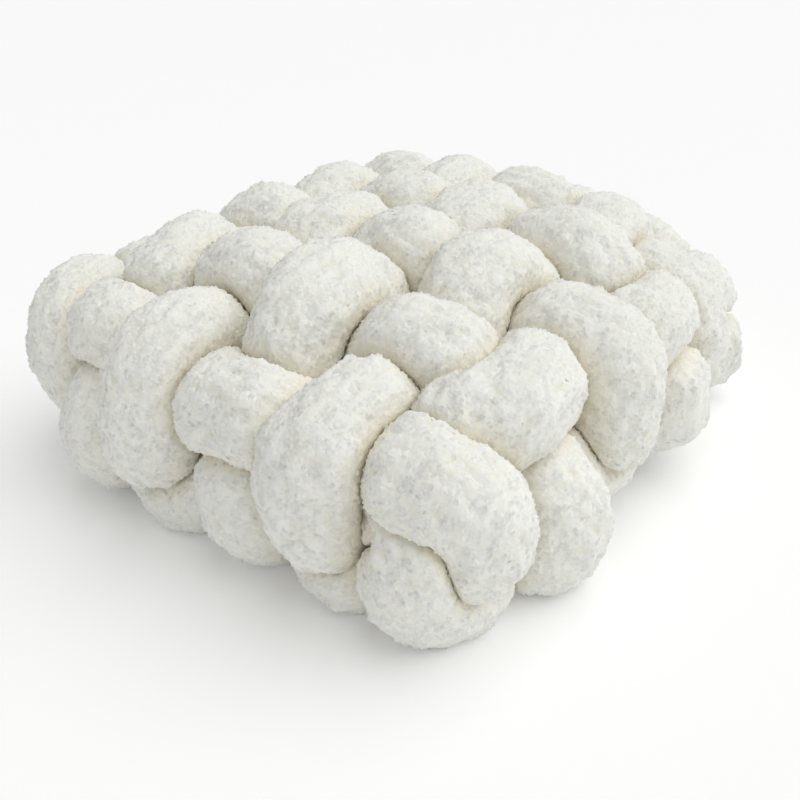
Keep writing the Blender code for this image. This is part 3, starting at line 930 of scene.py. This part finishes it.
# %% The creams and their painted shade
# Painted shade: the roots' cream is darker and warmer, for the shade between the curls, and the
# tips' cream is the lightest.
PILE_SHADE_CREAMS = (
    {"height": 0.05, "colour": (0.80, 0.78, 0.67, 1.0)},
    {"height": 0.35, "colour": (0.865, 0.868, 0.80, 1.0)},
    {"height": 0.85, "colour": (0.90, 0.91, 0.895, 1.0)},
)
# Painted shade: the warm cream deep in the creases stands in for shade and light bounced between the
# lobes.
CREASE_SHADE_CREAM = (0.90, 0.85, 0.72, 1.0)
CREASE_SHADE_SHARE = 0.8       # of the crease's cream, where a crease is deepest
# Painted shade: where the fibres' relief is low the colour is darker, where it rises lighter.
RELIEF_SHADE_SPOTS = 0.20             # how much the fibres' relief makes spots lighter or darker


def stored(nodes, name):
    """The output of the number that the points carry under this name."""
    node = nodes.new("ShaderNodeAttribute")
    node.attribute_name = name
    return node.outputs["Fac"]


def pile_shade_ramp(nodes):
    """A colour ramp from the roots of the pile, darker and warmer as painted shade, to its light
    tips.
    """
    node = nodes.new("ShaderNodeValToRGB")
    elements = node.color_ramp.elements
    while len(elements) > 1:
        elements.remove(elements[-1])
    for number, cream in enumerate(PILE_SHADE_CREAMS):
        element = elements[0] if number == 0 else elements.new(cream["height"])
        element.position = cream["height"]
        element.color = cream["colour"]
    return node


def fleece_colour(nodes, links, relief):
    """The colour's output, with painted shade in it. Formula: the cream of the pile's height plus a
    share of the relief, so that low pile and the relief's hollows get painted shade, blended with
    the crease's painted shade cream by a share of the crease's depth."""
    height = nodes.new("ShaderNodeMath")
    height.operation = "MULTIPLY_ADD"
    height.inputs[1].default_value = RELIEF_SHADE_SPOTS
    links.new(relief, height.inputs[0])
    links.new(stored(nodes, "pile"), height.inputs[2])
    creams = pile_shade_ramp(nodes)
    links.new(height.outputs["Value"], creams.inputs["Fac"])
    share = nodes.new("ShaderNodeMath")
    share.operation = "MULTIPLY"
    share.inputs[1].default_value = CREASE_SHADE_SHARE
    links.new(stored(nodes, "crease"), share.inputs[0])
    blend = nodes.new("ShaderNodeMix")
    blend.data_type = "RGBA"
    links.new(share.outputs["Value"], blend.inputs["Factor"])
    links.new(creams.outputs["Color"], blend.inputs["A"])
    blend.inputs["B"].default_value = CREASE_SHADE_CREAM
    return blend.outputs["Result"]


print(len(PILE_SHADE_CREAMS), "creams from root to tip, and one for the creases")

# %% The fibres
FIBRE_SCALE = 280.0      # per metre
FIBRE_DETAIL = 3.0
FIBRE_TWIST = 0.6
CLUMP_SCALE = 420.0      # per metre
FIBRE_RELIEF = 0.0003    # metres


def fibre_relief(nodes, links):
    """The output of the fibres' relief. Formula: twisted noise less the distance to the middle of
    the nearest of many small clumps."""
    where = nodes.new("ShaderNodeTexCoord")
    fibres = nodes.new("ShaderNodeTexNoise")
    fibres.inputs["Scale"].default_value = FIBRE_SCALE
    fibres.inputs["Detail"].default_value = FIBRE_DETAIL
    fibres.inputs["Distortion"].default_value = FIBRE_TWIST
    links.new(where.outputs["Object"], fibres.inputs["Vector"])
    clumps = nodes.new("ShaderNodeTexVoronoi")
    clumps.inputs["Scale"].default_value = CLUMP_SCALE
    links.new(where.outputs["Object"], clumps.inputs["Vector"])
    relief = nodes.new("ShaderNodeMath")
    relief.operation = "SUBTRACT"
    links.new(fibres.outputs["Fac"], relief.inputs[0])
    links.new(clumps.outputs["Distance"], relief.inputs[1])
    return relief.outputs["Value"]


print("the finest fibres are about", round(1000 / FIBRE_SCALE / 2**FIBRE_DETAIL, 1), "mm apart")

# %% The fleece
FLEECE_ROUGHNESS = 0.95


def fleece_material():
    """Cream teddy fleece: colour with painted shade by pile height and crease depth, fibres as bump,
    no gloss.
    """
    material = bpy.data.materials.new("cream_teddy_fleece")
    material.use_nodes = True
    nodes, links = material.node_tree.nodes, material.node_tree.links
    shader = nodes["Principled BSDF"]
    shader.inputs["Roughness"].default_value = FLEECE_ROUGHNESS
    shader.inputs["Specular IOR Level"].default_value = 0.0
    relief = fibre_relief(nodes, links)
    bump = nodes.new("ShaderNodeBump")
    bump.inputs["Strength"].default_value = 1.0
    bump.inputs["Distance"].default_value = FIBRE_RELIEF
    links.new(relief, bump.inputs["Height"])
    links.new(bump.outputs["Normal"], shader.inputs["Normal"])
    links.new(fleece_colour(nodes, links, relief), shader.inputs["Base Color"])
    return material


fleece = fleece_material()
for piece in lengths + pile_pieces:
    piece.data.materials.append(fleece)
    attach(piece, "root")
    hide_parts("woven_tube")
print("the fleece has", len(fleece.node_tree.nodes), "nodes")


# %% [markdown]
# ## The studio
#
# The cushion lies on a plain, pale floor. The light is as soft as it gets: a white sky, brightest
# at the horizon, and one very wide sun lamp, above and to the right of the camera's view. The
# floor glows a little, so that only a faint shade is left under the rims. A low, close camera
# looks at the near corner, and gives the strong perspective of a product picture taken from
# nearby.

# %% Floor
FLOOR_SIZE = 60.0
FLOOR_COLOUR = (0.94, 0.94, 0.94, 1.0)
FLOOR_ROUGHNESS = 0.9
FLOOR_GLOW = 0.08        # keeps the shade on the floor faint
WHITE = (1.0, 1.0, 1.0, 1.0)


def pale_floor():
    """A flat square under the cushion, in a matt, nearly white material."""
    half = FLOOR_SIZE / 2
    mesh = bpy.data.meshes.new("studio_floor")
    corners = [(-half, -half, 0), (half, -half, 0), (half, half, 0), (-half, half, 0)]
    mesh.from_pydata(corners, [], [(0, 1, 2, 3)])
    material = bpy.data.materials.new("studio_floor")
    material.use_nodes = True
    shader = material.node_tree.nodes["Principled BSDF"]
    shader.inputs["Base Color"].default_value = FLOOR_COLOUR
    shader.inputs["Roughness"].default_value = FLOOR_ROUGHNESS
    shader.inputs["Emission Color"].default_value = WHITE
    shader.inputs["Emission Strength"].default_value = FLOOR_GLOW
    mesh.materials.append(material)
    floor = bpy.data.objects.new("studio_floor", mesh)
    bpy.context.scene.collection.objects.link(floor)
    return floor


floor = pale_floor()
print("the floor is", FLOOR_SIZE, "m wide")

# %% Sky
SKY_STRENGTH = 0.45
HORIZON_STRENGTH = 0.95
HORIZON_HEIGHT = 0.25    # of the direction looked in, where the horizon's glow ends


def soft_sky():
    """A white sky, bright at the horizon and softer above. Formula: the strength falls evenly
    with the height of the direction looked in, up to a low height, and then stays."""
    world = bpy.data.worlds.new("soft_sky")
    world.use_nodes = True
    nodes, links = world.node_tree.nodes, world.node_tree.links
    sky = nodes["Background"]
    sky.inputs["Color"].default_value = WHITE
    where = nodes.new("ShaderNodeTexCoord")
    split = nodes.new("ShaderNodeSeparateXYZ")
    fade = nodes.new("ShaderNodeMapRange")
    fade.inputs["From Min"].default_value = 0.0
    fade.inputs["From Max"].default_value = HORIZON_HEIGHT
    fade.inputs["To Min"].default_value = HORIZON_STRENGTH
    fade.inputs["To Max"].default_value = SKY_STRENGTH
    links.new(where.outputs["Generated"], split.inputs["Vector"])
    links.new(split.outputs["Z"], fade.inputs["Value"])
    links.new(fade.outputs["Result"], sky.inputs["Strength"])
    return world


bpy.context.scene.world = soft_sky()
print("the horizon is", round(HORIZON_STRENGTH / SKY_STRENGTH, 1), "times as bright as the sky")

# %% Lamp
LAMP_STRENGTH = 1.70     # watts on a square metre
LAMP_SPREAD = math.radians(70)  # how wide the lamp looks from the cushion
LAMP_PLACE = (0.40, -0.55, 1.3)


def wide_lamp():
    """A sun lamp that shines from its place towards the middle of the floor."""
    data = bpy.data.lights.new("wide_lamp", "SUN")
    data.energy = LAMP_STRENGTH
    data.angle = LAMP_SPREAD
    lamp = bpy.data.objects.new("wide_lamp", data)
    lamp.location = LAMP_PLACE
    lamp.rotation_euler = Vector(LAMP_PLACE).to_track_quat("Z", "Y").to_euler()
    bpy.context.scene.collection.objects.link(lamp)
    return lamp


lamp = wide_lamp()
print("the lamp looks", round(math.degrees(LAMP_SPREAD)), "degrees wide")

# %% Camera
VIEW_TURN = math.radians(-140.6)  # direction from the cushion to the camera, from +X
VIEW_TILT = math.radians(28.9)  # how far the camera looks down
VIEW_DISTANCE = 10.15 * PITCH
VIEW_TARGET = (0.128 * PITCH, 0.235 * PITCH, 0.0)
VIEW_ROLL = -0.0318      # of the picture, in radians
FOCAL_PIXELS = 870       # focal length in pixels of the picture
IMAGE_PIXELS = 800       # width of the picture
SENSOR_WIDTH = 36.0      # millimetres
NEAREST_SHOWN = 0.01     # metres from the camera


def level_camera():
    """A camera that looks at the target. Formula: its back points from the target to it; right is
    level and square to that; both are then turned by the small roll of the picture."""
    back = np.array([
        math.cos(VIEW_TURN) * math.cos(VIEW_TILT),
        math.sin(VIEW_TURN) * math.cos(VIEW_TILT),
        math.sin(VIEW_TILT),
    ])
    place = np.array(VIEW_TARGET) + back * VIEW_DISTANCE
    right = unit(np.cross(-back, (0.0, 0.0, 1.0)))
    up = np.cross(right, -back)
    rolled_right = math.cos(VIEW_ROLL) * right + math.sin(VIEW_ROLL) * up
    rolled_up = -math.sin(VIEW_ROLL) * right + math.cos(VIEW_ROLL) * up
    data = bpy.data.cameras.new("camera")
    data.sensor_width = SENSOR_WIDTH
    data.lens = FOCAL_PIXELS / IMAGE_PIXELS * SENSOR_WIDTH
    data.clip_start = NEAREST_SHOWN
    camera = bpy.data.objects.new("camera", data)
    axes = np.column_stack([rolled_right, rolled_up, back, place])
    camera.matrix_world = Matrix([*axes.tolist(), [0, 0, 0, 1]])
    bpy.context.scene.collection.objects.link(camera)
    return camera


bpy.context.scene.camera = level_camera()
bpy.context.scene.view_settings.view_transform = "Standard"
print("the camera stands", round(VIEW_DISTANCE, 2), "m from its target")
